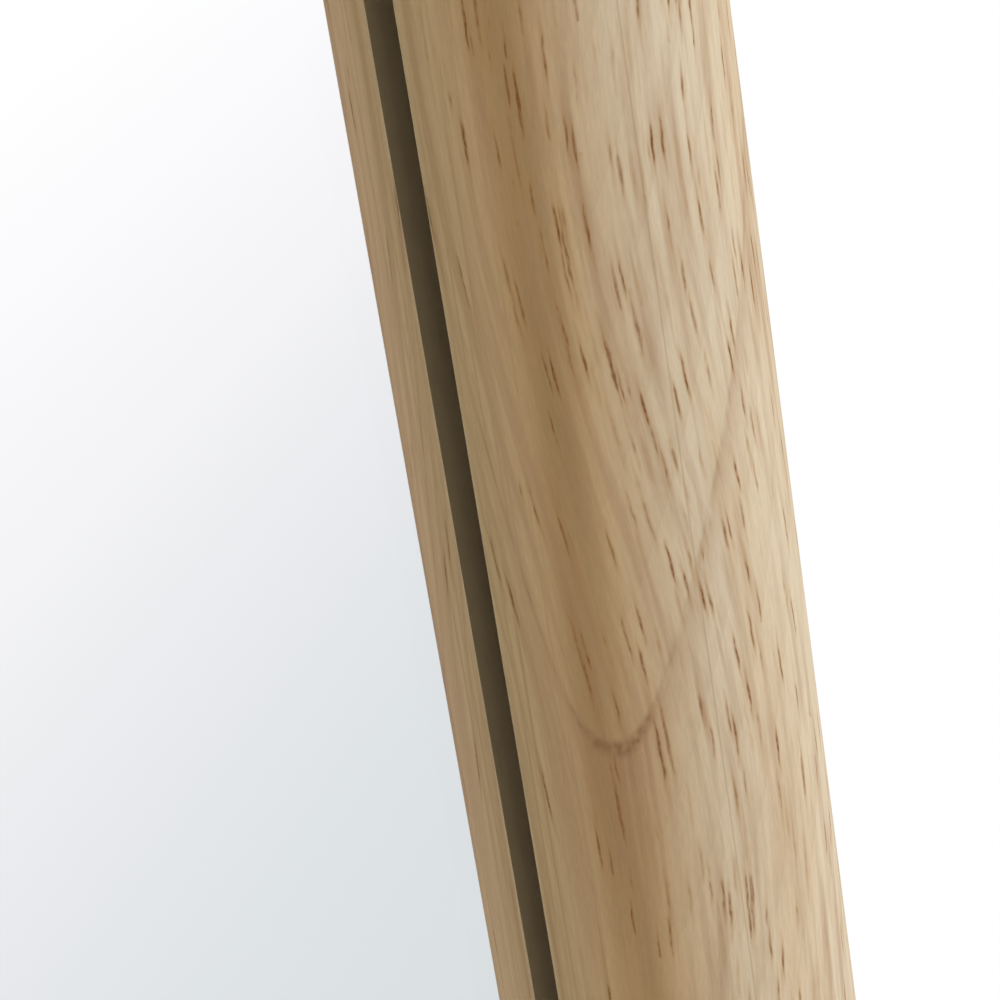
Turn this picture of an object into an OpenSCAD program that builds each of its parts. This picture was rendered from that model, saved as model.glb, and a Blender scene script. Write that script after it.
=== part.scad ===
// Full-length mirror that stands on the floor: a round wooden frame holds the glass in a rebate,
// and a rear stand of two turned legs folds flat against it. Drawn open, as it stands in use.
// Millimetres. Z is up, X runs across the mirror, and the glass faces -Y.

/* [Frame] */
// Width over the two posts
frame_w = 500; // [380:10:760]
// Length of a post, from the floor to its rounded top
post_len = 1650; // [1300:10:1850]
// Diameter of the round posts
post_d = 38; // [35:1:46]
// Diameter of the top and bottom rails
rail_d = 32; // [30:1:34]
// Height of the bottom rail above the floor, along the post
bottom_rail_up = 110; // [70:5:200]
// Distance of the top rail below the top of the posts
top_rail_down = 45; // [30:5:120]
// Lean of the frame, in degrees back from upright
lean = 12; // [9:0.5:15]
// Rounding at the top end of a post
post_round = 9; // [2:1:14]
// Easing of the edge that lies on the glass
lip_ease = 0.5; // [0.2:0.1:1]

/* [Glass and back] */
// Thickness of the mirror glass
glass_t = 4; // [3:0.5:5]
// Thickness of the backing board
panel_t = 3; // [2:0.5:4]
// Width of the rebate that the glass sits in
rebate_w = 8; // [7:0.5:9]
// Room between the edge of the glass and the rebate wall
glass_gap = 1.2; // [0.6:0.1:2]
// Clearance between flat faces that lie on each other
seat = 0.1; // [0.05:0.05:0.2]
// Length of the setting blocks under the glass
block_len = 30; // [15:5:60]

/* [Rear stand] */
// Diameter of a rear leg in its upper part
leg_d = 28; // [25:1:32]
// Diameter of a rear leg at the floor
leg_end_d = 22; // [20:1:24]
// Length of the straight part of a rear leg, down from its pivot
leg_straight = 460; // [320:10:700]
// Angle of the open rear legs, in degrees from upright
splay = 7; // [5:0.5:11]
// Height of the pivot, along the post
pivot_up = 1150; // [850:10:1250]
// Gap between a folded leg and its post
fold_gap = 3; // [2:0.5:5]
// Distance of the upper stretcher below the pivot
stretcher_down = 290; // [150:10:400]
// Height of the lower stretcher above the floor, along the leg
stretcher_up = 150; // [90:10:300]
// Diameter of the stretchers
stretcher_d = 20; // [16:1:22]
// Diameter of the tenon at each stretcher end
tenon_d = 14; // [10:1:15]
// Depth of a stretcher's tenon in the leg
tenon_len = 15; // [10:1:16]
// Length over which a stretcher tapers to its tenon
stretcher_taper = 60; // [30:5:90]
// Room between the bracket and the shoulder of a leg's tongue
shoulder_gap = 3; // [1:0.5:8]
// Wood left above the corner where a leg meets its stop
crown_wood = 5; // [3:0.5:8]

/* [Hinge brackets] */
// Thickness of the bracket's steel
steel_t = 2.5; // [2:0.5:3]
// Length of the bracket along the post
bracket_len = 56; // [50:1:70]
// Clearance between a bracket's side and the bead
bracket_clear = 0.2; // [0.1:0.1:1]
// Radius inside the bends of a bracket
bend_r = 1; // [0.5:0.25:1]
// Distance from the end of a bracket to the head of its screw
screw_edge = 5; // [3:0.5:8]
// Radius of the ears round the pivot
ear_r = 12; // [10:0.5:14]
// Diameter of the pivot bolt
bolt_d = 8; // [6:0.5:8]
// Wall of the nylon bushes
bush_wall = 2; // [1.5:0.25:2.5]
// Diameter of a bush's flange
flange_d = 19; // [16:1:20]
// Thickness of a bush's flange
flange_t = 0.9; // [0.6:0.1:1.2]
// Radial play of a bush on the bolt
play = 0.06; // [0.03:0.01:0.1]
// Gap left where the open leg meets its stop
stop_gap = 0.3; // [0.2:0.1:0.5]
// Thickness of the washers
washer_t = 1.6; // [1:0.2:2]

/* [Joinery and fixings] */
// Diameter of the dowels between posts and rails
dowel_d = 8; // [6:0.5:8]
// Length of a dowel
dowel_len = 50; // [40:2:60]
// Depth of a dowel in the post
dowel_in_post = 24; // [16:1:26]
// Wood left beside a dowel in the rail
dowel_wall = 2.5; // [1.5:0.25:2.5]
// Play round dowels, tenons and screws
fit = 0.05; // [0.02:0.01:0.1]
// Height of the rubber feet
foot_h = 4; // [3:0.5:6]
// Amount by which a foot is narrower at the floor, on the radius
foot_draft = 1; // [0:0.25:2]
// Diameter of the feet under the posts
post_foot_d = 30; // [24:1:32]
// Diameter of the feet under the legs
leg_foot_d = 18; // [16:1:20]
// Head diameter of the wood screws
screw_head_d = 7; // [6:0.5:8]
// Shank diameter of the wood screws
screw_d = 3.2; // [2.5:0.1:4]
// Length of the bracket screws
bracket_screw_len = 22; // [14:1:26]
// Length of the foot screws
foot_screw_len = 18; // [12:1:24]
// Head diameter of the bead screws
bead_head_d = 3.8; // [3:0.2:4]
// Shank diameter of the bead screws
bead_screw_d = 2; // [1.5:0.1:2.4]
// Length of the bead screws
bead_screw_len = 14; // [10:1:16]

/* [Hidden] */
$fn = 72;

post_r = post_d / 2;
rail_r = rail_d / 2;
leg_r = leg_d / 2;
leg_end_r = leg_end_d / 2;
stretcher_r = stretcher_d / 2;
tenon_r = tenon_d / 2;
bolt_r = bolt_d / 2;
bush_r = bolt_r + bush_wall;
screw_r = screw_d / 2;
screw_head_r = screw_head_d / 2;
bead_screw_r = bead_screw_d / 2;
bead_head_r = bead_head_d / 2;

// Across and along the leaning posts
post_x = frame_w / 2 - post_r;
bottom_z = bottom_rail_up;
top_z = post_len - top_rail_down;
wall_x = post_x - post_r + rebate_w;
low_wall_z = bottom_z + rail_r - rebate_w;
high_wall_z = top_z - rail_r + rebate_w;

// Through the depth of the rebate, back from the plane of the glass
glass_y = seat;
panel_y = glass_y + glass_t + seat;
bead_y = panel_y + panel_t + seat;
glass_w = 2 * (wall_x - glass_gap);
glass_h = high_wall_z - low_wall_z - 2 * glass_gap;

// The dowels of a joint, from the rail's axis towards the glass
dowel_r = dowel_d / 2;
dowel_near = rail_r - rebate_w - dowel_wall - dowel_r;
dowel_far = dowel_wall + dowel_r - rail_r;

// The bracket on the flat at the back of a post
bracket_w = 2 * (post_r - rebate_w - bracket_clear);
inner_w = bracket_w - 2 * steel_t;
flat_y = sqrt(pow(post_r, 2) - pow(bracket_w / 2, 2));
plate_front = flat_y + seat;
plate_back = plate_front + steel_t;
tongue_t = inner_w - 2 * flange_t - 2 * seat;
bracket_screw_up = bracket_len / 2 - screw_head_r - screw_edge;
head_room = 0.4;

// The bolt, its washers and the cap nut
washer_r = bolt_r * 2;
bolt_head_r = bolt_r * 1.75;
bolt_head_h = bolt_r * 1.1;
head_dome_h = bolt_head_h * 0.85;
head_ball_r = (pow(bolt_head_r, 2) + pow(head_dome_h, 2)) / (2 * head_dome_h);
socket_r = bolt_r * 0.72;
nut_r = bolt_r * 1.85;
nut_h = bolt_r * 1.5;
dome_r = bolt_r * 1.5;

// The stand, open
open_angle = lean + splay;
pivot_back = post_r + leg_r + fold_gap;
pivot_y = pivot_back * cos(lean) + pivot_up * sin(lean);
pivot_z = pivot_up * cos(lean) - pivot_back * sin(lean);
leg_len = pivot_z / cos(splay);
lower_down = leg_len - stretcher_up;
shoulder_down = bracket_len / 2 + shoulder_gap;

// The leg's top end bears on the bracket's plate when the leg is open
stop_reach = pivot_back - plate_back - stop_gap;
stop_corner = (stop_reach - leg_r * cos(open_angle)) / sin(open_angle);
leg_top_r = norm([leg_r, stop_corner]) + crown_wood;

// The origin is on the floor, in the middle of the whole depth
post_foot_y = foot_h * tan(lean);
leg_foot_y = pivot_y + (pivot_z - foot_h) * tan(splay);
front_y = post_foot_y - post_r / cos(lean);
back_y = leg_foot_y + leg_end_r / cos(splay);
shift_y = -(front_y + back_y) / 2;

foot_head_up = 1.2;
long_bead_screws = 5;
short_bead_screws = 3;
bead_screw_inset = 60;
taper_steps = 8;
over = 1;
far = 3000;

// Radius of a rear leg at a distance down from its pivot
function leg_radius(down) =
  down < leg_straight ? leg_r
  : leg_r + (leg_end_r - leg_r) * (down - leg_straight) / (leg_len - leg_straight);

// Radius of a stretcher at a distance from the shoulder of its tenon, along a smooth turned taper
function stretcher_radius(along) =
  tenon_r + (stretcher_r - tenon_r) * (1 - cos(180 * along / stretcher_taper)) / 2;

// Where a line from p touches the circle of radius r round the origin, on side s
function touch_point(p, r, s) =
  let (a = atan2(p[1], p[0]) + s * acos(r / norm(p)))
  [r * cos(a), r * sin(a)];

// Places

module on_frame() {
  translate([0, shift_y, 0]) rotate([-lean, 0, 0]) children();
}

module on_stand() {
  translate([0, shift_y + pivot_y, pivot_z]) rotate([splay, 0, 0]) children();
}

module on_side(side) {
  mirror([side < 0 ? 1 : 0, 0, 0]) translate([post_x, 0, 0]) children();
}

// Along a rail, turned so that its glass lies on its -X side as on a post
module on_rail(inward) {
  translate([0, 0, inward > 0 ? bottom_z : top_z]) rotate([0, inward * 90, 0]) children();
}

module at_pivot() {
  translate([0, pivot_back, pivot_up]) children();
}

// All that lies lower than the underside of the wood
module below_wood() {
  translate([-far / 2, -far / 2, foot_h - far]) cube(far);
}

// Shared shapes

module along_x(h, r) {
  rotate([0, 90, 0]) cylinder(h = h, r = r);
}

module slab_yz(x0, x1) {
  translate([x0, 0, 0]) rotate([90, 0, 90]) linear_extrude(height = x1 - x0) children();
}

// A countersunk screw along -Z, with its head flush with z = 0
module screw(r, head_r, len, grow = 0) {
  head_h = head_r - r;
  tip_h = 2 * r;
  translate([0, 0, -head_h]) cylinder(h = head_h, r1 = r + grow, r2 = head_r + grow);
  translate([0, 0, tip_h - len]) cylinder(h = len - tip_h - head_h, r = r + grow);
  translate([0, 0, -len]) cylinder(h = tip_h, r1 = r * 0.3 + grow, r2 = r + grow);
}

// Its hole, open above the head
module screw_hole(r, head_r, len) {
  screw(r, head_r, len + fit, fit);
  cylinder(h = 2 * head_r + over, r = head_r + fit);
}

module slotted_screw(r, head_r, len) {
  difference() {
    screw(r, head_r, len);
    for (a = [0, 90])
      rotate([0, 0, a]) translate([-head_r * 0.5, -head_r * 0.1, -head_r * 0.25])
        cube([head_r, head_r * 0.2, head_r]);
  }
}

// The rebate in a rod along Z, on its -X side and open to the back, with the edge on the glass eased
module rebate(r, z0, z1) {
  translate([-r - over, 0, z0]) cube([rebate_w + over, r + over, z1 - z0]);
  translate([0, 0, z0]) linear_extrude(height = z1 - z0)
    polygon([[-r - over, -lip_ease - over], [-r + lip_ease + over, over], [-r - over, over]]);
}

// A bead fills the rebate behind the board, planed to the rod's round and mitred at both ends
module bead(r, z0, z1) {
  wall = -(r - rebate_w) - fit;
  inner = -r - over;
  run = wall - inner;
  difference() {
    intersection() {
      translate([0, 0, z0]) cylinder(h = z1 - z0, r = r);
      translate([0, r + over, 0]) rotate([90, 0, 0]) linear_extrude(height = r + over - bead_y)
        polygon([
          [wall, z0 + 2 * fit],
          [inner, z0 + 2 * fit + run],
          [inner, z1 - 2 * fit - run],
          [wall, z1 - 2 * fit]
        ]);
    }
    bead_screw_places(r, z0, z1) screw_hole(bead_screw_r, bead_head_r, bead_screw_len);
  }
}

// Screws go through a bead into the wall of the rebate, more of them along a post
module bead_screw_places(r, z0, z1) {
  count = z1 - z0 > frame_w ? long_bead_screws : short_bead_screws;
  y = (bead_y + sqrt(pow(r, 2) - pow(r - rebate_w, 2))) / 2;
  head_x = sqrt(pow(r, 2) - pow(y + bead_head_r, 2));
  for (k = [0 : count - 1])
    translate([-head_x, y, z0 + bead_screw_inset + (z1 - z0 - 2 * bead_screw_inset) * k / (count - 1)])
      rotate([0, -90, 0]) children();
}

// Front frame

module dowel(grow) {
  for (z = [bottom_z + dowel_near, bottom_z + dowel_far, top_z - dowel_near, top_z - dowel_far])
    translate([dowel_in_post - post_r - dowel_len - grow, 0, z])
      along_x(dowel_len + 2 * grow, dowel_r + (grow > 0 ? fit : 0));
}

module rounded_rod(r, len, round_r) {
  cylinder(h = len - round_r, r = r);
  translate([0, 0, len - round_r]) {
    cylinder(h = round_r, r = r - round_r);
    rotate_extrude()
      translate([r - round_r, 0]) intersection() {
        circle(round_r);
        square(round_r);
      }
  }
}

module post() {
  difference() {
    translate([0, 0, -post_r]) rounded_rod(post_r, post_len + post_r, post_round);
    rebate(post_r, low_wall_z, high_wall_z);
    dowel(over);
    bead_screw_places(post_r, low_wall_z, high_wall_z)
      screw_hole(bead_screw_r, bead_head_r, bead_screw_len);
    translate([-post_r, flat_y, pivot_up - bracket_len / 2 - seat])
      cube([post_d, post_r, bracket_len + 2 * seat]);
    bracket_screw_places() screw_hole(screw_r, screw_head_r, bracket_screw_len);
    rotate([lean, 0, 0]) {
      below_wood();
      translate([0, post_foot_y, 0]) foot_screw_place() screw_hole(screw_r, screw_head_r, foot_screw_len);
    }
  }
}

module rail(inward) {
  on_frame() difference() {
    on_rail(inward) difference() {
      translate([0, 0, -post_x]) cylinder(h = 2 * post_x, r = rail_r);
      rebate(rail_r, -post_x, post_x);
      bead_screw_places(rail_r, -wall_x, wall_x)
        screw_hole(bead_screw_r, bead_head_r, bead_screw_len);
    }
    for (s = [-1, 1])
      on_side(s) {
        translate([0, 0, -far / 2]) cylinder(h = 2 * far, r = post_r + fit);
        dowel(over);
      }
  }
}

module left_post() {
  color("#CFB48A") on_frame() on_side(-1) post();
}

module right_post() {
  color("#CFB48A") on_frame() on_side(1) post();
}

module top_rail() {
  color("#CBB084") rail(-1);
}

module bottom_rail() {
  color("#CBB084") rail(1);
}

module rail_dowels() {
  color("#DCC59C") on_frame() for (s = [-1, 1]) on_side(s) dowel(0);
}

module mirror_glass() {
  color("#DDE3E6") on_frame()
    translate([-glass_w / 2, glass_y, low_wall_z + glass_gap]) cube([glass_w, glass_t, glass_h]);
}

module setting_blocks() {
  color("#2E2E30") on_frame() for (s = [-1, 1])
    translate([s * glass_w / 4 - block_len / 2, glass_y, low_wall_z + fit])
      cube([block_len, glass_t, glass_gap - 2 * fit]);
}

module back_panel() {
  color("#8A6B4C") on_frame()
    translate([-glass_w / 2, panel_y, low_wall_z + glass_gap]) cube([glass_w, panel_t, glass_h]);
}

module left_bead() {
  color("#C6A97C") on_frame() on_side(-1) bead(post_r, low_wall_z, high_wall_z);
}

module right_bead() {
  color("#C6A97C") on_frame() on_side(1) bead(post_r, low_wall_z, high_wall_z);
}

module top_bead() {
  color("#C6A97C") on_frame() on_rail(-1) bead(rail_r, -wall_x, wall_x);
}

module bottom_bead() {
  color("#C6A97C") on_frame() on_rail(1) bead(rail_r, -wall_x, wall_x);
}

module bead_screws() {
  color("#B9BBBE") on_frame() {
    for (s = [-1, 1]) {
      on_side(s) bead_screw_places(post_r, low_wall_z, high_wall_z)
        slotted_screw(bead_screw_r, bead_head_r, bead_screw_len);
      on_rail(s) bead_screw_places(rail_r, -wall_x, wall_x)
        slotted_screw(bead_screw_r, bead_head_r, bead_screw_len);
    }
  }
}

// Hinge brackets

module bracket_screw_places() {
  for (k = [-1, 0, 1])
    translate([0, plate_back - head_room * 0.5, pivot_up + k * bracket_screw_up])
      rotate([-90, 0, 0]) children();
}

module ear_outline() {
  corner = [plate_back - pivot_back, bracket_len / 2];
  tip = touch_point(corner, ear_r, -1);
  translate([pivot_back, 0]) {
    circle(ear_r);
    polygon([
      [plate_front - pivot_back, bracket_len / 2],
      corner,
      tip,
      [tip[0], -tip[1]],
      [corner[0], -corner[1]],
      [plate_front - pivot_back, -bracket_len / 2]
    ]);
  }
}

// What a round of radius r leaves of a square corner at the origin, grown outwards by grow
module corner(r, grow) {
  difference() {
    translate([-grow, -grow]) square(r + grow);
    translate([r, r]) circle(r);
  }
}

// Both bends of the bracket's sheet, from a corner at x and y
module at_bends(x, y) {
  for (s = [0, 1])
    mirror([s, 0, 0]) translate([-x, y, pivot_up - bracket_len / 2])
      linear_extrude(height = bracket_len) children();
}

module bracket() {
  difference() {
    union() {
      translate([0, 0, pivot_up]) {
        slab_yz(bracket_w / 2 - steel_t, bracket_w / 2) ear_outline();
        slab_yz(-bracket_w / 2, steel_t - bracket_w / 2) ear_outline();
      }
      translate([-bracket_w / 2, plate_front, pivot_up - bracket_len / 2])
        cube([bracket_w, steel_t, bracket_len]);
      intersection() {
        at_bends(inner_w / 2, plate_back) corner(bend_r, steel_t / 2);
        translate([0, 0, pivot_up]) slab_yz(-bracket_w / 2, bracket_w / 2) ear_outline();
      }
    }
    at_bends(bracket_w / 2, plate_front) corner(steel_t + bend_r, over);
    at_pivot() translate([-bracket_w, 0, 0]) along_x(2 * bracket_w, bolt_r + fit);
    bracket_screw_places() screw_hole(screw_r, screw_head_r, bracket_screw_len);
  }
}

module pivot_bolt() {
  end_x = -bracket_w / 2 - washer_t - nut_h;
  head_x = bracket_w / 2 + washer_t;
  at_pivot() {
    translate([end_x, 0, 0]) along_x(head_x - end_x, bolt_r);
    difference() {
      intersection() {
        translate([head_x, 0, 0]) along_x(bolt_head_h + over, bolt_head_r);
        translate([head_x + bolt_head_h - head_ball_r, 0, 0]) rotate([0, 90, 0]) sphere(head_ball_r);
      }
      translate([head_x + bolt_head_h * 0.35, 0, 0]) rotate([0, 90, 0])
        cylinder(h = bolt_head_h, r = socket_r, $fn = 6);
    }
  }
}

module pivot_nut() {
  at_pivot() translate([-bracket_w / 2 - washer_t, 0, 0]) rotate([0, -90, 0]) {
    difference() {
      union() {
        cylinder(h = nut_h, r = nut_r, $fn = 6);
        translate([0, 0, nut_h]) intersection() {
          sphere(dome_r);
          cylinder(h = dome_r + over, r = dome_r + over);
        }
      }
      translate([0, 0, -over]) cylinder(h = nut_h + fit + over, r = bolt_r + fit);
    }
  }
}

module washer_pair() {
  at_pivot() for (x = [-bracket_w / 2 - washer_t, bracket_w / 2])
    translate([x, 0, 0]) difference() {
      along_x(washer_t, washer_r);
      translate([-over, 0, 0]) along_x(washer_t + 2 * over, bolt_r + fit);
    }
}

module left_bracket() {
  color("#3A3B3D") on_frame() on_side(-1) bracket();
}

module right_bracket() {
  color("#3A3B3D") on_frame() on_side(1) bracket();
}

module bracket_screws() {
  color("#4A4B4D") on_frame() for (s = [-1, 1])
    on_side(s) bracket_screw_places() slotted_screw(screw_r, screw_head_r, bracket_screw_len);
}

module left_pivot_bolt() {
  color("#A9ABAE") on_frame() on_side(-1) pivot_bolt();
}

module right_pivot_bolt() {
  color("#A9ABAE") on_frame() on_side(1) pivot_bolt();
}

module left_pivot_nut() {
  color("#A9ABAE") on_frame() on_side(-1) pivot_nut();
}

module right_pivot_nut() {
  color("#A9ABAE") on_frame() on_side(1) pivot_nut();
}

module pivot_washers() {
  color("#A9ABAE") on_frame() for (s = [-1, 1]) on_side(s) washer_pair();
}

// Rear stand

// A mortise for each stretcher, bored from the inner side of the leg
module mortises() {
  for (down = [stretcher_down, lower_down])
    translate([-leg_radius(down) - over, 0, -down]) along_x(tenon_len + over + fit, tenon_r + fit);
}

module leg() {
  difference() {
    intersection() {
      rotate_extrude()
        polygon([
          [0, -leg_len - leg_r],
          [leg_end_r, -leg_len - leg_r],
          [leg_end_r, -leg_len],
          [leg_r, -leg_straight],
          [leg_r, leg_top_r + over],
          [0, leg_top_r + over]
        ]);
      union() {
        translate([-leg_r - over, 0, 0]) along_x(leg_d + 2 * over, leg_top_r);
        translate([-leg_d, -leg_d, -far]) cube([2 * leg_d, 2 * leg_d, far]);
      }
    }
    for (s = [-1, 1])
      translate([s > 0 ? tongue_t / 2 : -tongue_t / 2 - leg_r, -leg_r - over, -shoulder_down])
        cube([leg_r, leg_d + 2 * over, shoulder_down + leg_top_r + over]);
    rotate([-open_angle, 0, 0])
      translate([-leg_r, -stop_reach - leg_d, -leg_top_r]) cube([leg_d, leg_d, 2 * leg_top_r]);
    translate([-leg_r, 0, 0]) along_x(leg_d, bush_r + fit);
    mortises();
    rotate([-splay, 0, 0]) translate([0, -pivot_y, -pivot_z]) {
      below_wood();
      translate([0, leg_foot_y, 0]) foot_screw_place() screw_hole(screw_r, screw_head_r, foot_screw_len);
    }
  }
}

// A stretcher is turned in one piece with its tenons
module stretcher(down) {
  end_x = post_x - leg_radius(down);
  taper = [for (k = [0 : taper_steps]) stretcher_taper * k / taper_steps];
  on_stand() translate([0, 0, -down]) rotate([0, 90, 0])
    rotate_extrude() polygon(concat(
      [[0, -end_x - tenon_len], [tenon_r, -end_x - tenon_len]],
      [for (a = taper) [stretcher_radius(a), a - end_x]],
      [for (k = [taper_steps : -1 : 0]) [stretcher_radius(taper[k]), end_x - taper[k]]],
      [[tenon_r, end_x + tenon_len], [0, end_x + tenon_len]]
    ));
}

module bush_pair() {
  for (s = [0, 1])
    mirror([s, 0, 0]) difference() {
      union() {
        translate([seat, 0, 0]) along_x(tongue_t / 2, bush_r);
        translate([tongue_t / 2, 0, 0]) along_x(flange_t, flange_d / 2);
      }
      along_x(tongue_t, bolt_r + play);
    }
}

module left_leg() {
  color("#CFB48A") on_stand() on_side(-1) leg();
}

module right_leg() {
  color("#CFB48A") on_stand() on_side(1) leg();
}

module upper_stretcher() {
  color("#CBB084") stretcher(stretcher_down);
}

module lower_stretcher() {
  color("#CBB084") stretcher(lower_down);
}

module left_leg_bushes() {
  color("#E9E7E1") on_stand() on_side(-1) bush_pair();
}

module right_leg_bushes() {
  color("#E9E7E1") on_stand() on_side(1) bush_pair();
}

// Feet

// A foot screw points up, with its head sunk in the foot
module foot_screw_place() {
  translate([0, 0, foot_head_up]) rotate([180, 0, 0]) children();
}

module foot(d) {
  difference() {
    cylinder(h = foot_h, r1 = d / 2 - foot_draft, r2 = d / 2);
    foot_screw_place() screw_hole(screw_r, screw_head_r, foot_screw_len);
  }
}

module at_post_foot(side) {
  translate([side * post_x, shift_y + post_foot_y, 0]) children();
}

module at_leg_foot(side) {
  translate([side * post_x, shift_y + leg_foot_y, 0]) children();
}

module left_post_foot() {
  color("#2B2B2D") at_post_foot(-1) foot(post_foot_d);
}

module right_post_foot() {
  color("#2B2B2D") at_post_foot(1) foot(post_foot_d);
}

module left_leg_foot() {
  color("#2B2B2D") at_leg_foot(-1) foot(leg_foot_d);
}

module right_leg_foot() {
  color("#2B2B2D") at_leg_foot(1) foot(leg_foot_d);
}

module post_foot_screws() {
  color("#A9ABAE") for (s = [-1, 1])
    at_post_foot(s) foot_screw_place() slotted_screw(screw_r, screw_head_r, foot_screw_len);
}

module leg_foot_screws() {
  color("#A9ABAE") for (s = [-1, 1])
    at_leg_foot(s) foot_screw_place() slotted_screw(screw_r, screw_head_r, foot_screw_len);
}

left_post();
right_post();
top_rail();
bottom_rail();
rail_dowels();
mirror_glass();
setting_blocks();
back_panel();
left_bead();
right_bead();
top_bead();
bottom_bead();
bead_screws();
left_bracket();
right_bracket();
bracket_screws();
left_pivot_bolt();
right_pivot_bolt();
left_pivot_nut();
right_pivot_nut();
pivot_washers();
left_leg();
right_leg();
upper_stretcher();
lower_stretcher();
left_leg_bushes();
right_leg_bushes();
left_post_foot();
right_post_foot();
post_foot_screws();
left_leg_foot();
right_leg_foot();
leg_foot_screws();
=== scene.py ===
# Full-length mirror with a folding rear stand: turned rubberwood frame, silvered float glass, steel hinges.
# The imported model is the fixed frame. The posts, rails, legs, stretchers and brackets are modelled again over
# it with eased edges, the rest keeps its CAD shape, and everything gets its finish here.
from math import cos, pi, radians, sin, tan

import bmesh
import bpy
from mathutils import Matrix, Vector


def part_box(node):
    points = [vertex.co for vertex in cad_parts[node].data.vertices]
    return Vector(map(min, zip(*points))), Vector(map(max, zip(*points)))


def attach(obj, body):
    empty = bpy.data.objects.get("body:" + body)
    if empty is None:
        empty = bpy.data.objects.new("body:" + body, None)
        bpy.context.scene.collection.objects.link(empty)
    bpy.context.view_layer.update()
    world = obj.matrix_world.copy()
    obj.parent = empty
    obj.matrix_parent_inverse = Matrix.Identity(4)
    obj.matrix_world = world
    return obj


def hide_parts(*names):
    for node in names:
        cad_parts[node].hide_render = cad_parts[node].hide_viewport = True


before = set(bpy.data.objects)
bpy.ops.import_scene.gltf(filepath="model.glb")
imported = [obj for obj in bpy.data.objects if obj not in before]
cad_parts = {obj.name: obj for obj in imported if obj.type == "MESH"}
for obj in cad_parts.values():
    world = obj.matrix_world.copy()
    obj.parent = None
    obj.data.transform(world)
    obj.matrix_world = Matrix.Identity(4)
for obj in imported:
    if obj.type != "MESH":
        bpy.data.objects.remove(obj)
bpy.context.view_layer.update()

mm = 0.001


# Small tools

def pick(*pieces):
    # Leaves edit mode and selects these pieces only, or none; the last one becomes the active piece
    if bpy.context.object and bpy.context.object.mode != "OBJECT":
        bpy.ops.object.mode_set(mode="OBJECT")
    bpy.ops.object.select_all(action="DESELECT")
    for piece in pieces:
        piece.select_set(True)
        bpy.context.view_layer.objects.active = piece


def linearColour(hexText):
    channels = [int(hexText[i:i + 2], 16) / 255 for i in (1, 3, 5)]
    return [c / 12.92 if c <= 0.04045 else ((c + 0.055) / 1.055) ** 2.4 for c in channels] + [1.0]


def addNode(tree, kind, *inputs, **settings):
    # The kind leaves out ShaderNode. Each input is a constant, or a node or socket to link, in the order of
    # the sockets; a dictionary gives more by name, or by number where names are shared (6 and 7 are the
    # colours of a Mix node)
    node = tree.nodes.new("ShaderNode" + kind)
    for key, value in settings.items():
        setattr(node, key, value)
    wanted = {}
    for number, value in enumerate(inputs):
        wanted.update(value if isinstance(value, dict) else {number: value})
    for key, value in wanted.items():
        if isinstance(value, bpy.types.Node):
            value = next(output for output in value.outputs if output.enabled)
        if isinstance(value, bpy.types.NodeSocket):
            tree.links.new(value, node.inputs[key])
        else:
            node.inputs[key].default_value = value
    return node


def newMaterial(name):
    material = bpy.data.materials.new(name)
    material.use_nodes = True
    material.node_tree.nodes.clear()
    return material, material.node_tree


def closeMaterial(material, inputs):
    # The shader with its own inputs, joined to the material's output
    bsdf = addNode(material.node_tree, "BsdfPrincipled", inputs)
    addNode(material.node_tree, "OutputMaterial", bsdf)
    return material


def clouds(tree, place, size, detail=2.0, span=None, share=(0.0, 1.0)):
    # Soft clouds of a size in millimetres, the same all ways or not; a span of their depth can become a share
    stretch = [1 / s for s in (size if isinstance(size, tuple) else (size, size, size))]
    scaled = addNode(tree, "VectorMath", place, stretch, operation="MULTIPLY")
    noise = addNode(tree, "TexNoise", scaled, {"Scale": 1.0, "Detail": detail})
    return addNode(tree, "MapRange", noise, *span, *share) if span else noise


def layered(tree, colour, *layers):
    # A colour, as text or from a node, with each tone laid over it by its share in turn
    if isinstance(colour, str):
        colour = linearColour(colour)
    for share, tone in layers:
        colour = addNode(tree, "Mix", share, {6: colour, 7: linearColour(tone)}, data_type="RGBA")
    return colour


# Where the leaning frame and the splayed stand are, from the same sizes as the solids

frameSizes = {
    "width": 500 * mm,
    "postLength": 1650 * mm,
    "postRadius": 19 * mm,
    "railRadius": 16 * mm,
    "bottomRail": 110 * mm,
    "topRail": 1605 * mm,
    "lean": radians(12),
    "topRound": 9 * mm,
    "rebateWidth": 8 * mm,
    "footHeight": 4 * mm,
    "pivotUp": 1150 * mm,
    "pivotBack": 36 * mm,
    "splay": radians(7),
    "upperStretcher": 290 * mm,      # down the legs from the pivot
    "lowerStretcher": 150 * mm,      # up the legs from their ends
}
postX = frameSizes["width"] / 2 - frameSizes["postRadius"]
lowWall = frameSizes["bottomRail"] + frameSizes["railRadius"] - frameSizes["rebateWidth"]
highWall = frameSizes["topRail"] - frameSizes["railRadius"] + frameSizes["rebateWidth"]

footLow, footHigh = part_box("left_post_foot")
frameY = (footLow.y + footHigh.y) / 2 - frameSizes["footHeight"] * tan(frameSizes["lean"])
frameMatrix = Matrix.Translation((0, frameY, 0)) @ Matrix.Rotation(-frameSizes["lean"], 4, "X")
pivotPoint = frameMatrix @ Vector((0, frameSizes["pivotBack"], frameSizes["pivotUp"]))
standMatrix = Matrix.Translation(pivotPoint) @ Matrix.Rotation(frameSizes["splay"], 4, "X")
legLength = pivotPoint.z / cos(frameSizes["splay"])
upperDown, lowerDown = frameSizes["upperStretcher"], legLength - frameSizes["lowerStretcher"]


def postMatrix(side):
    return frameMatrix @ Matrix.Translation((side * postX, 0, 0))


def legMatrix(side):
    return standMatrix @ Matrix.Translation((side * postX, 0, 0))


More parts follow.
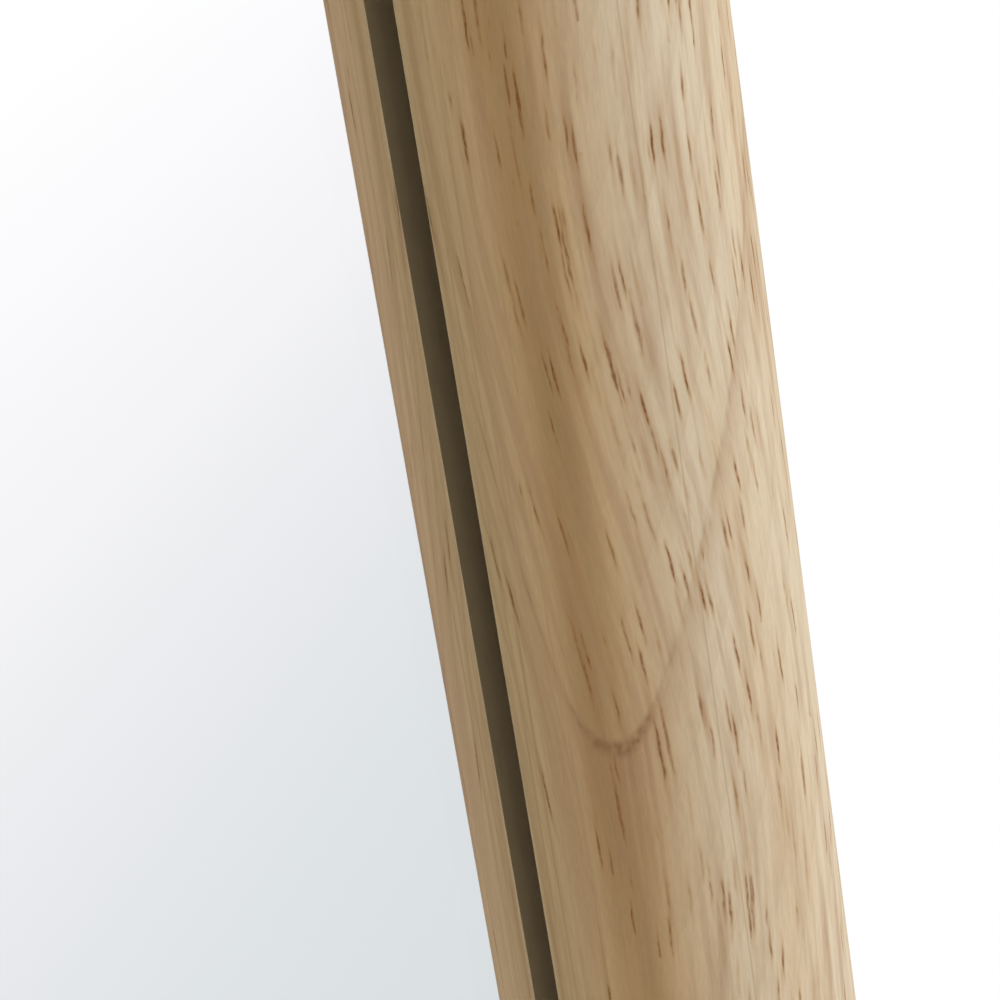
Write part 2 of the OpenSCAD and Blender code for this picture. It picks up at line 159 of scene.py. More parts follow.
def alongX(height):
    # A rail's or stretcher's own frame, with Z along it
    return Matrix.Translation((0, 0, height)) @ Matrix.Rotation(pi / 2, 4, "Y")


# Camera, from the edges of the post and of its reflection in the photograph

cameraView = {
    "heading": radians(43.739),
    "pitch": radians(35.824),
    "depth": 438.46 * mm,
    "lens": 146.12,
    "axisPixel": 615.1,
    "alongPost": 960 * mm,
    "imageSize": 1000,
    "sensor": 36.0,
    "clip": (0.02, 60),
}


def placeCamera(view):
    heading, pitch = view["heading"], view["pitch"]
    forward = Vector((sin(heading) * cos(pitch), cos(heading) * cos(pitch), -sin(pitch)))
    right = Vector((cos(heading), -sin(heading), 0))
    up = right.cross(forward)
    focal = view["lens"] / view["sensor"] * view["imageSize"]
    aim = postMatrix(1) @ Vector((0, 0, view["alongPost"]))
    side = (view["axisPixel"] - view["imageSize"] / 2) / focal * view["depth"]
    data = bpy.data.cameras.new("camera")
    data.lens = view["lens"]
    data.sensor_width = view["sensor"]
    data.clip_start, data.clip_end = view["clip"]
    camera = bpy.data.objects.new("camera", data)
    bpy.context.scene.collection.objects.link(camera)
    camera.matrix_world = Matrix((right, up, -forward)).transposed().to_4x4()
    camera.location = aim - forward * view["depth"] - right * side
    bpy.context.scene.camera = camera


placeCamera(cameraView)
print("camera placed")


# Studio: pale floor, even surroundings and two softboxes

studio = {
    "floorHalf": 12.0,
    "floorColour": "#F4F4F3",
    "floorShown": 0.85,      # share of plain white that the camera sees on the floor, the rest is lit
    "surround": "#F2F4F7",
    "surroundStrength": 0.92,
    # What the mirror shows of the floor, by metres from the frame, and of the wall, by the sine of the height
    "mirroredWay": (-0.54, -0.84, 0),
    "mirroredFloor": [(0.6, "#D8DDE0"), (0.95, "#E0E4E7"), (1.16, "#E9EAED"), (1.5, "#F4F4F6"),
                      (2.0, "#FBFBFD"), (2.5, "#FFFFFF")],
    "mirroredWall": [(0.0, "#FFFFFF"), (0.12, "#F3F5F7"), (0.3, "#DDE2E6"), (0.5, "#D3D9DE"),
                     (0.8, "#F2F4F6"), (1.0, "#FFFFFF")],
    "key": {"at": (2.6, -1.3, 2.4), "aim": (0.2, 0.0, 0.9), "size": 1.8, "power": 36, "colour": "#FFFBF4"},
    "back": {"at": (-1.4, 2.9, 2.6), "aim": (0, 0, 0.8), "size": 2.4, "power": 70, "colour": "#F8FAFF"},
}


def makeLight(name, spec):
    data = bpy.data.lights.new(name, "AREA")
    data.shape = "SQUARE"
    data.size = spec["size"]
    data.energy = spec["power"]
    data.color = linearColour(spec["colour"])[:3]
    light = bpy.data.objects.new(name, data)
    bpy.context.scene.collection.objects.link(light)
    light.location = spec["at"]
    light.rotation_euler = (Vector(spec["aim"]) - light.location).to_track_quat("-Z", "Y").to_euler()
    light.visible_camera = False
    light.visible_transmission = False      # the mirror is seen through its glass, and shows no lamp


def rayShare(tree):
    # 1 for rays straight from the camera, and 1 for those mirrored or let through by the glass
    path = addNode(tree, "LightPath").outputs
    mirrored = addNode(tree, "Math", path["Is Glossy Ray"], path["Is Transmission Ray"], operation="MAXIMUM")
    return path["Is Camera Ray"], mirrored


def toneRamp(tree, value, tones):
    # A colour that passes through the given tones, each at its own value
    reach = addNode(tree, "MapRange", value, 0.0, tones[-1][0])
    ramp = addNode(tree, "ValToRGB", reach)
    stops = ramp.color_ramp.elements
    while len(stops) < len(tones):
        stops.new(0.5)
    for stop, (at, tone) in zip(stops, tones):
        stop.position = at / tones[-1][0]
        stop.color = linearColour(tone)
    return ramp.outputs["Color"]


def makeWorld():
    world = bpy.data.worlds.new("studio surround")
    world.use_nodes = True
    bpy.context.scene.world = world
    tree = world.node_tree
    tree.nodes.clear()
    toCamera, toMirror = rayShare(tree)
    shown = addNode(tree, "Math", toCamera, toMirror, operation="MAXIMUM")
    even = addNode(tree, "Background", linearColour(studio["surround"]), studio["surroundStrength"])
    # In the mirror the studio wall fades to a cool grey above the horizon, so that the glass reads as a mirror
    place = addNode(tree, "TexCoord")
    height = addNode(tree, "SeparateXYZ", place.outputs["Generated"])
    wall = toneRamp(tree, height.outputs["Z"], studio["mirroredWall"])
    seen = addNode(tree, "Mix", toMirror, {6: (1, 1, 1, 1), 7: wall}, data_type="RGBA")
    white = addNode(tree, "Background", seen, 1.0)
    both = addNode(tree, "MixShader", shown, even, white)
    addNode(tree, "OutputWorld", both)


def makeFloor():
    bpy.ops.mesh.primitive_plane_add(size=2 * studio["floorHalf"], location=(0, 0, 0))
    floor = bpy.context.object
    floor.name = "floor"
    material, tree = newMaterial("matt white studio floor")
    toCamera, toMirror = rayShare(tree)
    lit = addNode(tree, "BsdfDiffuse", linearColour(studio["floorColour"]))
    plain = addNode(tree, "Emission", (1, 1, 1, 1), 1.0)
    share = addNode(tree, "Math", toCamera, studio["floorShown"], operation="MULTIPLY")
    seen = addNode(tree, "MixShader", share, lit, plain)
    # In the mirror the floor fades from a cool pale grey near the frame to white further off
    place = addNode(tree, "TexCoord")
    ahead = addNode(tree, "VectorMath", place.outputs["Object"], studio["mirroredWay"],
                    operation="DOT_PRODUCT")
    mirrored = addNode(tree, "Emission", toneRamp(tree, ahead, studio["mirroredFloor"]), 1.0)
    both = addNode(tree, "MixShader", toMirror, seen, mirrored)
    addNode(tree, "OutputMaterial", both)
    floor.data.materials.append(material)


bpy.context.scene.view_settings.view_transform = "Standard"
makeWorld()
makeFloor()
for name in ("key", "back"):
    makeLight(name + " softbox", studio[name])
print("studio ready")


# Wood

wood = {
    "pale": "#D6C4A8",
    "tan": "#BE9763",
    "deepTan": "#9C7D56",
    "pink": "#A37C5B",
    "pore": "#7B4A28",
    "poreHalo": "#AD8452",
    "lateWood": "#A98B66",
    # painted highlight, a faint pale line along the lip's corner
    "sanded": "#C9BBA4",
    # painted light, a pale tone on the lip's face against the glass where it lies in shade
    "paintedLipLight": "#F4D5A2",
    "darkRing": "#94704F",
    # painted shade, a warm tint multiplied in towards the glass side
    "paintedGlassShade": (1.03, 0.99, 0.79, 1),
    "ringSpacing": 5.5,      # mm, yearly rings of a quick grower
    "unevenSide": 0.2,       # on the glass side the rings open by this share of the distance squared
    "waveLong": 130.0,       # mm from one sway of the fibres to the next
    "wander": (3, 3, 0),     # mm by which the fibres wander
    "crooked": (0.35, 0.35, 0),      # mm by which the vessels are crooked
    "streakAt": 1.4,         # mm from the heart's line to the deeper tan streak
    "footClearer": 3.4,      # the darker ring is that much clearer at the foot of its arch
    # Room for a cut vessel in millimetres, its size as a share of it, and the share of rooms that are taken
    "shortVessels": {"wide": 0.8, "long": 15.0, "size": 0.27, "taken": 0.85},
    "longVessels": {"wide": 1.25, "long": 56.0, "size": 0.22, "taken": 1.0},
    "vesselEdges": ((0.35, 1.0), (0.5, 1.9)),    # where the mark and its stain fade, as shares of the size
    "weakestVessel": 0.6,
    "vesselStrength": 0.95,
    "stainStrength": 0.5,
    "poreDepth": -0.6,       # against the height of the fine fibres
    "bump": {"Strength": 0.12, "Distance": 0.05 * mm},
    "roughness": (0.45, 0.55),
    "gloss": 0.02,
}

# Clouds drawn out along the grain, in millimetres across and along
woodClouds = {
    "wander": {"size": (60, 60, 110), "detail": 1.0},
    "uneven": {"size": (14, 14, 60), "detail": 1.0},
    "bands": {"size": (9, 9, 260), "span": (0.42, 0.75), "share": (0.0, 0.4)},
    "tanPatches": {"size": (4, 4, 45), "span": (0.35, 0.65), "share": (0.48, 0.86)},
    "streaks": {"size": (1.6, 1.6, 120), "detail": 3.0, "span": (0.47, 0.75), "share": (0.0, 0.55)},
    "lines": {"size": (0.55, 0.55, 75)},
    "ringPatches": {"size": (3, 3, 9), "span": (0.35, 0.65), "share": (0.2, 1.0)},
    "smudges": {"size": (0.9, 0.9, 1.3), "span": (0.36, 0.6), "share": (0.45, 1.0)},
    "fibres": {"size": (0.4, 0.4, 28), "detail": 3.0},
    "flecks": {"size": (0.22, 0.22, 1.6), "detail": 1.0},
    "crooked": {"size": (1.2, 1.2, 2.2), "detail": 1.0},
    "drifts": {"size": (9, 9, 40)},
    "ragged": {"size": (0.3, 0.3, 0.9), "detail": 1.0, "span": (0.35, 0.6), "share": (0.5, 1.0)},
}

# How a tone or mark fades: from, to, and its share at each end
# Millimetres beside the heart's line, from the glass side to the outer side
besideHeart = {
    "tan": (-3.0, 15.0),
    "tanAtGlass": (-13.0, -3.0, 0.42, 0.97),
    "deepStreak": (0.6, 4.2),
    "finePinkLines": (-6.0, 1.0, 0.45, 0.0),
    # painted shade: where the warm tint fades out, towards the glass side
    "paintedGlassShade": (-13.0, -5.0),
    "pores": (-7.0, -2.0, 0.3, 1.0),
    "longPores": (3.0, 14.0, 1.0, 0.1),
    "archFoot": (1.5, 7.0, 0.75, 0.0),
}
# Millimetres outside the darker ring
outsideRing = {
    "pinkStart": (-0.1, 0.5),
    "pinkClose": (0.3, 4.0, 0.35, 0.0),
    "pinkFoot": (0.3, 13.0, 1.0, 0.0),
    "line": (0.05, 0.65, 0.45, 0.0),
}
# Shares of a yearly ring, depths of the clouds, and millimetres from the cutter line and from the lip, for its
# painted light and highlight
otherFades = {
    "lateWood": (0.45, 0.97, 0.0, 0.11),
    "linesAsPink": (0.5, 0.72),
    "linesInFoot": (0.35, 0.6, 0.55, 1.0),
    "fibreShade": (0.6, 1.4, 0.935, 1.065),
    "drift": (0.26, 0.5),
    "cutterLine": (0.04, 0.15, 0.4, 0.0),
    # painted light on the lip's face against the glass
    "paintedLipLight": (0.04, 0.08, 0.75, 0.0),
    # painted highlight on the lip's corner, on part of its rounding only
    "highlightSide": (18.76, 18.86, 0.0, 0.15),
    "highlightFront": (-0.34, -0.24),
}

# How a piece was cut from the tree, in millimetres in the piece's own frame
plainGrain = {
    "shift": 0.0,            # along the grain, so that no two pieces are alike
    "runOut": (0.06, -0.09), # sideways step of the fibres for each millimetre along
    "pith": (34.0, 26.0),    # the heart of the tree
    "taper": 0.03,           # growth of the rings for each millimetre along
    "darkRing": (40.0, 0.0), # radius of one darker ring, and where along the piece it has it
    "wave": 3.0,             # degrees by which the fibres sway round the piece
    "waveFrom": 0.0,         # where along the piece the sway is none
    "wobble": 3.0,           # mm by which the rings are uneven
    "tanSide": 0.5,          # share of tan on the darker side
    "cutterLine": None,      # where the two halves of the moulding cutter met
    "sandedEdge": 0,         # side of the lip that gets the painted light and highlight, 0 for none
}


def woodPlace(tree, matrix):
    # Object coordinates in millimetres, with Z along the grain and the piece's axis at X = Y = 0
    place = addNode(tree, "TexCoord")
    spot, turn, _ = matrix.decompose()
    return addNode(tree, "Mapping", place.outputs["Object"], spot, turn.to_euler("XYZ"), (mm, mm, mm),
                   vector_type="TEXTURE")


def strayed(tree, start, place, name):
    # The start, shifted by up to half the named reach each way, as the clouds at the place have it
    stray = clouds(tree, place, **woodClouds[name]).outputs["Color"]
    centred = addNode(tree, "VectorMath", stray, (0.5, 0.5, 0.5), operation="SUBTRACT")
    return addNode(tree, "VectorMath", centred, wood[name], start, operation="MULTIPLY_ADD")


def fibreCourse(tree, moved, grain):
    # The fibres wander a little, sway round the piece and run out of the round at a small slope
    bent = strayed(tree, moved, moved, "wander")
    height = addNode(tree, "SeparateXYZ", moved).outputs["Z"]
    pace = 2 * pi / wood["waveLong"]
    turn = addNode(tree, "Math", height, pace, -pace * grain["waveFrom"], operation="MULTIPLY_ADD")
    swing = addNode(tree, "Math", turn, operation="SINE")
    sway = addNode(tree, "Math", swing, radians(grain["wave"]), operation="MULTIPLY")
    swayed = addNode(tree, "VectorRotate", bent, {"Axis": (0, 0, 1), "Angle": sway})
    runOut = addNode(tree, "VectorMath", (*grain["runOut"], 0), {"Scale": height}, operation="SCALE")
    return addNode(tree, "VectorMath", swayed, runOut, operation="ADD")


def ringDepth(tree, here, moved, grain):
    # Millimetres beside the heart's line, and outside the darker ring; the rings grew uneven on one side
    heart = Vector((*grain["pith"], 0))
    inward, aside = -heart.normalized(), Vector((-heart.y, heart.x, 0)).normalized()
    fromHeart = addNode(tree, "VectorMath", here, heart, operation="SUBTRACT")
    outward = addNode(tree, "VectorMath", fromHeart, inward, operation="DOT_PRODUCT")
    sideways = addNode(tree, "VectorMath", fromHeart, aside, operation="DOT_PRODUCT")
    evenSide = addNode(tree, "Math", sideways, 0.0, operation="MAXIMUM")
    otherSide = addNode(tree, "Math", sideways, 0.0, operation="MINIMUM")
    squared = addNode(tree, "Math", otherSide, otherSide, operation="MULTIPLY")
    breadth = addNode(tree, "Math", squared, wood["unevenSide"], evenSide, operation="MULTIPLY_ADD")
    joined = addNode(tree, "CombineXYZ", outward, breadth)
    distance = addNode(tree, "VectorMath", joined, operation="LENGTH")
    radius, level = grain["darkRing"]
    height = addNode(tree, "SeparateXYZ", here).outputs["Z"]
    grown = addNode(tree, "Math", height, -grain["taper"], distance, operation="MULTIPLY_ADD")
    even = addNode(tree, "Math", grown, radius - grain["taper"] * level, operation="SUBTRACT")
    uneven = clouds(tree, moved, **woodClouds["uneven"])
    offset = addNode(tree, "Math", uneven, 0.5, operation="SUBTRACT")
    return sideways, addNode(tree, "Math", offset, grain["wobble"], even, operation="MULTIPLY_ADD")


def tanShares(tree, fibre, sideways, grain):
    # Tan on one side and pale on the other, with broad bands; and the deeper streak near the heart's line
    bands = clouds(tree, fibre, **woodClouds["bands"])
    heartSide = addNode(tree, "MapRange", sideways, *besideHeart["tan"], grain["tanSide"], 0.0,
                        interpolation_type="SMOOTHSTEP")
    glassSide = addNode(tree, "MapRange", sideways, *besideHeart["tanAtGlass"])
    tanSide = addNode(tree, "Math", heartSide, glassSide, operation="MULTIPLY")
    tanShare = addNode(tree, "Math", bands, tanSide, operation="MAXIMUM")
    patches = clouds(tree, fibre, **woodClouds["tanPatches"])
    inPatches = addNode(tree, "Math", patches, grain["tanSide"], operation="MULTIPLY")
    fromStreak = addNode(tree, "Math", sideways, wood["streakAt"], operation="ADD")
    offStreak = addNode(tree, "Math", fromStreak, operation="ABSOLUTE")
    streak = addNode(tree, "MapRange", offStreak, *besideHeart["deepStreak"], inPatches, 0.0,
                     interpolation_type="SMOOTHSTEP")
    return tanShare, streak


def pinkShare(tree, moved, fibre, sideways, depth, archFoot):
    # Narrow pinkish streaks, and a pinkish band outside the darker ring that is widest at the foot of its arch
    streaks = clouds(tree, fibre, **woodClouds["streaks"])
    lines = clouds(tree, moved, **woodClouds["lines"])
    lineSide = addNode(tree, "MapRange", sideways, *besideHeart["finePinkLines"])
    lineShare = addNode(tree, "MapRange", lines, *otherFades["linesAsPink"], 0.0, lineSide)
    narrow = addNode(tree, "Math", streaks, lineShare, operation="MAXIMUM")
    start, close, below = (addNode(tree, "MapRange", depth, *outsideRing[fade])
                           for fade in ("pinkStart", "pinkClose", "pinkFoot"))
    inLines = addNode(tree, "MapRange", lines, *otherFades["linesInFoot"])
    streaked = addNode(tree, "Math", below, inLines, operation="MULTIPLY")
    foot = addNode(tree, "Math", archFoot, streaked, operation="MULTIPLY")
    band = addNode(tree, "Math", close, foot, operation="MAXIMUM")
    outside = addNode(tree, "Math", band, start, operation="MULTIPLY")
    return addNode(tree, "Math", narrow, outside, operation="MAXIMUM")


def ringShares(tree, moved, depth, archFoot):
    # Faint yearly rings, and the one darker ring, broken and smudged
    phase = addNode(tree, "Math", depth, wood["ringSpacing"], operation="DIVIDE")
    within = addNode(tree, "Math", phase, operation="FRACT")
    late = addNode(tree, "MapRange", within, *otherFades["lateWood"], interpolation_type="SMOOTHSTEP")
    fromRing = addNode(tree, "Math", depth, operation="ABSOLUTE")
    line = addNode(tree, "MapRange", fromRing, *outsideRing["line"], interpolation_type="SMOOTHSTEP")
    patches = clouds(tree, moved, **woodClouds["ringPatches"])
    smudges = clouds(tree, moved, **woodClouds["smudges"])
    clear = addNode(tree, "Math", archFoot, wood["footClearer"], operation="MULTIPLY")
    smudged = addNode(tree, "Math", clear, smudges, operation="MULTIPLY")
    strength = addNode(tree, "Math", patches, smudged, operation="MAXIMUM")
    return late, addNode(tree, "Math", line, strength, operation="MULTIPLY")


def cutVessels(tree, course, spec, crowding):
    # Spindle-shaped marks, each in its own long cell, some cells left empty; and the soft stain round each
    room = (1 / spec["wide"], 1 / spec["wide"], 1 / spec["long"])
    cells = addNode(tree, "VectorMath", course, room, operation="MULTIPLY")
    spots = addNode(tree, "TexVoronoi", cells, {"Scale": 1.0})
    chance = addNode(tree, "SeparateColor", spots.outputs["Color"])
    wanted = addNode(tree, "Math", crowding, spec["taken"], operation="MULTIPLY")
    there = addNode(tree, "Math", chance.outputs[0], wanted, operation="LESS_THAN")
    strength = addNode(tree, "MapRange", chance.outputs[1], {"To Min": wood["weakestVessel"]})
    shown = addNode(tree, "Math", there, strength, operation="MULTIPLY")
    marks = []
    for inner, outer in wood["vesselEdges"]:
        mark = addNode(tree, "MapRange", spots.outputs["Distance"], spec["size"] * inner,
                       spec["size"] * outer, 1.0, 0.0, interpolation_type="SMOOTHSTEP")
        marks.append(addNode(tree, "Math", mark, shown, operation="MULTIPLY"))
    return marks


def poreShares(tree, moved, fibre, sideways):
    # Cut vessels in drifts, the long ones where the wood is cut flat to its rings
    crooked = strayed(tree, fibre, moved, "crooked")
    dense = addNode(tree, "MapRange", sideways, *besideHeart["pores"])
    drifts = clouds(tree, moved, **woodClouds["drifts"])
    crowding = addNode(tree, "MapRange", drifts, *otherFades["drift"], 0.0, dense)
    flatCut = addNode(tree, "MapRange", sideways, *besideHeart["longPores"])
    flatCrowding = addNode(tree, "Math", crowding, flatCut, operation="MULTIPLY")
    short = cutVessels(tree, crooked, wood["shortVessels"], crowding)
    long = cutVessels(tree, crooked, wood["longVessels"], flatCrowding)
    whole, stains = (addNode(tree, "Math", *pair, operation="MAXIMUM") for pair in zip(short, long))
    ragged = clouds(tree, moved, **woodClouds["ragged"])
    return addNode(tree, "Math", whole, ragged, operation="MULTIPLY"), stains


def makingShares(tree, here, grain):
    # Marks of the making: the fine line between the two cutters. And painted light on the lip: a pale tone on
    # its face against the glass, lifting the shade there, and a faint painted highlight along its corner, on
    # part of its rounding only
    places = addNode(tree, "SeparateXYZ", here).outputs
    shares = []
    if grain["cutterLine"] is not None:
        fromLine = addNode(tree, "Math", places["X"], grain["cutterLine"], operation="SUBTRACT")
        away = addNode(tree, "Math", fromLine, operation="ABSOLUTE")
        thin = addNode(tree, "MapRange", away, *otherFades["cutterLine"])
        ahead = addNode(tree, "Math", places["Y"], 0.0, operation="LESS_THAN")
        shares.append((addNode(tree, "Math", thin, ahead, operation="MULTIPLY"), wood["lateWood"]))
    if grain["sandedEdge"]:
        # Painted light: a pale tone on the lip's face against the glass, where it lies in shade
        offFace = addNode(tree, "Math", places["Y"], operation="ABSOLUTE")
        shares.append((addNode(tree, "MapRange", offFace, *otherFades["paintedLipLight"]), wood["paintedLipLight"]))
        # Painted highlight: a faint pale line on the lip's corner, on part of its rounding only
        outer = addNode(tree, "Math", places["X"], grain["sandedEdge"], operation="MULTIPLY")
        beside = addNode(tree, "MapRange", outer, *otherFades["highlightSide"])
        behind = addNode(tree, "MapRange", places["Y"], *otherFades["highlightFront"])
        shares.append((addNode(tree, "Math", beside, behind, operation="MULTIPLY"), wood["sanded"]))
    return shares


def turnedWood(name, matrix, grain):
    # Rubberwood, turned, sandpapered and sealed with a clear matt lacquer: pale straw to tan, with pinkish
    # streaks, faint rings and many short brown vessel marks, under a low soft sheen; with painted shade towards
    # the glass side, and painted light and a painted highlight on the lip
    material, tree = newMaterial(name)
    here = woodPlace(tree, matrix)
    moved = addNode(tree, "VectorMath", here, (0, 0, grain["shift"]), operation="ADD")
    fibre = fibreCourse(tree, moved, grain)
    sideways, depth = ringDepth(tree, here, moved, grain)
    aside = addNode(tree, "Math", sideways, operation="ABSOLUTE")
    archFoot = addNode(tree, "MapRange", aside, *besideHeart["archFoot"], interpolation_type="SMOOTHSTEP")
    tanShare, streak = tanShares(tree, fibre, sideways, grain)
    late, darkRing = ringShares(tree, moved, depth, archFoot)
    pinkish = pinkShare(tree, moved, fibre, sideways, depth, archFoot)
    colour = layered(tree, wood["pale"], (tanShare, wood["tan"]), (streak, wood["deepTan"]),
                     (pinkish, wood["pink"]), (late, wood["lateWood"]), (darkRing, wood["darkRing"]))

    fibres = clouds(tree, fibre, **woodClouds["fibres"])
    flecks = clouds(tree, fibre, **woodClouds["flecks"])
    fine = addNode(tree, "Math", fibres, flecks, operation="ADD")
    shade = addNode(tree, "MapRange", fine, *otherFades["fibreShade"])
    colour = addNode(tree, "VectorMath", colour, {"Scale": shade}, operation="SCALE")
    # Painted shade: a warm tint, lowest in blue, multiplied in towards the glass side by the share of tan,
    # standing in for the dimmer, warmer light there
    glassShadeShare = addNode(tree, "MapRange", sideways, *besideHeart["paintedGlassShade"], grain["tanSide"], 0.0)
    colour = addNode(tree, "Mix", glassShadeShare, {6: colour, 7: wood["paintedGlassShade"]},
                     data_type="RGBA", blend_type="MULTIPLY")

    pores, stains = poreShares(tree, moved, fibre, sideways)
    poreShare = addNode(tree, "Math", pores, wood["vesselStrength"], operation="MULTIPLY")
    stainShare = addNode(tree, "Math", stains, wood["stainStrength"], operation="MULTIPLY")
    colour = layered(tree, colour, (stainShare, wood["poreHalo"]), (poreShare, wood["pore"]),
                     *makingShares(tree, here, grain))

    relief = addNode(tree, "Math", pores, wood["poreDepth"], fine, operation="MULTIPLY_ADD")
    bump = addNode(tree, "Bump", {"Height": relief, **wood["bump"]})
    rough = addNode(tree, "MapRange", fibres, 0.0, 1.0, *wood["roughness"])
    return closeMaterial(material, {"Base Color": colour, "Roughness": rough, "IOR": 1.5,
                                    "Specular IOR Level": wood["gloss"], "Normal": bump})


# Glass and silver

def floatGlass():
    # Float glass with the flat fire-polished faces of the float process: clear, and only the silver behind it
    # mirrors, so its own faint front reflection is left out
    material, tree = newMaterial("float glass polished")
    return closeMaterial(material, {"Base Color": linearColour("#FFFFFF"), "Roughness": 0.0, "IOR": 1.52,
                                    "Specular Tint": (0, 0, 0, 1), "Transmission Weight": 1.0})


def silverCoat():
    # Silver laid on the back of the glass: a clean mirror with hardly any tint
    material, tree = newMaterial("silver mirror coat")
    return closeMaterial(material, {"Base Color": linearColour("#FFFFFF"), "Metallic": 1.0, "Roughness": 0.0})


# Board, metal, nylon and rubber

boardFinish = {
    "brown": "#7B5A3C",
    "dark": "#6E5035",
    "clouds": {"size": 38.0, "detail": 3.0},
    "cloudSpan": (0.35, 0.68),
    "fibre": "#A98862",
    "fibres": {"size": (0.8, 3.0, 9.0), "span": (0.62, 0.74), "share": (0.0, 0.55)},
    "fibreTurns": (0.3, 1.35, 2.4),
    "specks": {"size": 0.9},
    "speckShade": (0.3, 0.7, 0.86, 1.1),
    "roughness": (0.54, 0.72),
    "bump": {"Strength": 0.25, "Distance": 0.08 * mm},
}

coatFinish = {
    "black": "#242527",
    "light": "#3C3D3F",
    "grains": {"size": 0.35, "detail": 0.0, "span": (0.6, 0.72), "share": (0.0, 0.5)},
    "peel": {"size": 0.9, "detail": 1.0},
    "patches": {"size": 9.0, "span": (0.0, 1.0), "share": (0.42, 0.58)},
    "bump": {"Strength": 0.35, "Distance": 0.06 * mm},
}

plating = {
    "clouds": {"size": 2.6, "detail": 3.0, "span": (0.35, 0.7)},
    "marks": {"size": (0.9, 0.12, 0.12)},
    "markSpan": (0.3, 0.7),
    "smoother": -0.07,
    "rougher": 0.09,
    "bump": {"Strength": 0.15, "Distance": 0.02 * mm},
}

nylonFinish = {
    "milky": "#ECEAE2",
    "duller": "#DFDCD2",
    "clouds": {"size": 4.0},
    "gloss": {"size": 0.8, "span": (0.0, 1.0), "share": (0.3, 0.46)},
    "inside": {"Subsurface Weight": 0.2, "Subsurface Radius": (1.0, 0.9, 0.8), "Subsurface Scale": 1.5 * mm},
}

rubberFinish = {
    "black": "#1F1F20",
    "dusty": "#45443F",
    "grain": {"size": 0.5, "detail": 3.0},
    "dust": {"size": 3.0, "detail": 4.0},
    "dustShare": (0.5, 0.8, 0.0, 0.4),
    "roughness": (0.7, 0.92),
    "bump": {"Strength": 0.4, "Distance": 0.05 * mm},
}


def inMillimetres(tree):
    place = addNode(tree, "TexCoord")
    return addNode(tree, "VectorMath", place.outputs["Object"], {"Scale": 1 / mm}, operation="SCALE")


def hardboard():
    # Hardboard, wet-pressed wood fibre with its smooth face out: warm brown and cloudy, with pale stray fibres
    # that lie all ways, and a dull sheen
    finish = boardFinish
    material, tree = newMaterial("hardboard pressed")
    here = inMillimetres(tree)
    cloudy = clouds(tree, here, **finish["clouds"])
    share = addNode(tree, "MapRange", cloudy, *finish["cloudSpan"])
    strands = 0.0
    for turn in finish["fibreTurns"]:
        turned = addNode(tree, "Mapping", here, {"Rotation": (0, turn, 0)})
        strand = clouds(tree, turned, **finish["fibres"])
        strands = addNode(tree, "Math", strands, strand, operation="MAXIMUM")
    colour = layered(tree, finish["brown"], (share, finish["dark"]), (strands, finish["fibre"]))
    specks = clouds(tree, here, **finish["specks"])
    shade = addNode(tree, "MapRange", specks, *finish["speckShade"])
    colour = addNode(tree, "VectorMath", colour, {"Scale": shade}, operation="SCALE")
    rough = addNode(tree, "MapRange", cloudy, 0.0, 1.0, *finish["roughness"])
    bump = addNode(tree, "Bump", {"Height": specks, **finish["bump"]})
    return closeMaterial(material, {"Base Color": colour, "Roughness": rough, "IOR": 1.5, "Normal": bump})


def powderCoat():
    # Bent steel, powder-coated black: an even satin skin with a fine orange peel and a few lighter grains
    finish = coatFinish
    material, tree = newMaterial("steel powder-coated")
    here = inMillimetres(tree)
    grains = clouds(tree, here, **finish["grains"])
    colour = layered(tree, finish["black"], (grains, finish["light"]))
    rough = clouds(tree, here, **finish["patches"])
    bump = addNode(tree, "Bump", {"Height": clouds(tree, here, **finish["peel"]), **finish["bump"]})
    return closeMaterial(material, {"Base Color": colour, "Roughness": rough, "IOR": 1.5, "Normal": bump})


def platedSteel(name, bright, dull, roughness):
    # Cold-formed steel screws and bolts with a thin plating: metal with cloudy, slightly uneven brightness
    # and faint drawing marks
    material, tree = newMaterial(name)
    here = inMillimetres(tree)
    colour = layered(tree, bright, (clouds(tree, here, **plating["clouds"]), dull))
    marks = clouds(tree, here, **plating["marks"])
    rough = addNode(tree, "MapRange", marks, *plating["markSpan"],
                    roughness + plating["smoother"], roughness + plating["rougher"])
    bump = addNode(tree, "Bump", {"Height": marks, **plating["bump"]})
    return closeMaterial(material, {"Base Color": colour, "Metallic": 1.0, "Roughness": rough,
                                    "Normal": bump})


def mouldedNylon():
    # Nylon, injection-moulded: milky white, a little light gets in, with a soft uneven gloss
    finish = nylonFinish
    material, tree = newMaterial("nylon moulded")
    here = inMillimetres(tree)
    colour = layered(tree, finish["milky"], (clouds(tree, here, **finish["clouds"]), finish["duller"]))
    return closeMaterial(material, {"Base Color": colour, "Roughness": clouds(tree, here, **finish["gloss"]),
                                    "IOR": 1.53, **finish["inside"]})


def mouldedRubber():
    # Rubber, compression-moulded: nearly black and dull, with a fine grain and a little pale dust
    finish = rubberFinish
    material, tree = newMaterial("rubber moulded")
    here = inMillimetres(tree)
    dust = clouds(tree, here, **finish["dust"])
    share = addNode(tree, "MapRange", dust, *finish["dustShare"])
    colour = layered(tree, finish["black"], (share, finish["dusty"]))
    bump = addNode(tree, "Bump", {"Height": clouds(tree, here, **finish["grain"]), **finish["bump"]})
    rough = addNode(tree, "MapRange", dust, 0.0, 1.0, *finish["roughness"])
    return closeMaterial(material, {"Base Color": colour, "Roughness": rough, "IOR": 1.52, "Normal": bump})


# Finish of each node, with one cut of wood for each wooden piece

def woodOf(piece, matrix, made="rubberwood turned", **cut):
    return turnedWood(made + ", " + piece, matrix, dict(plainGrain, **cut))


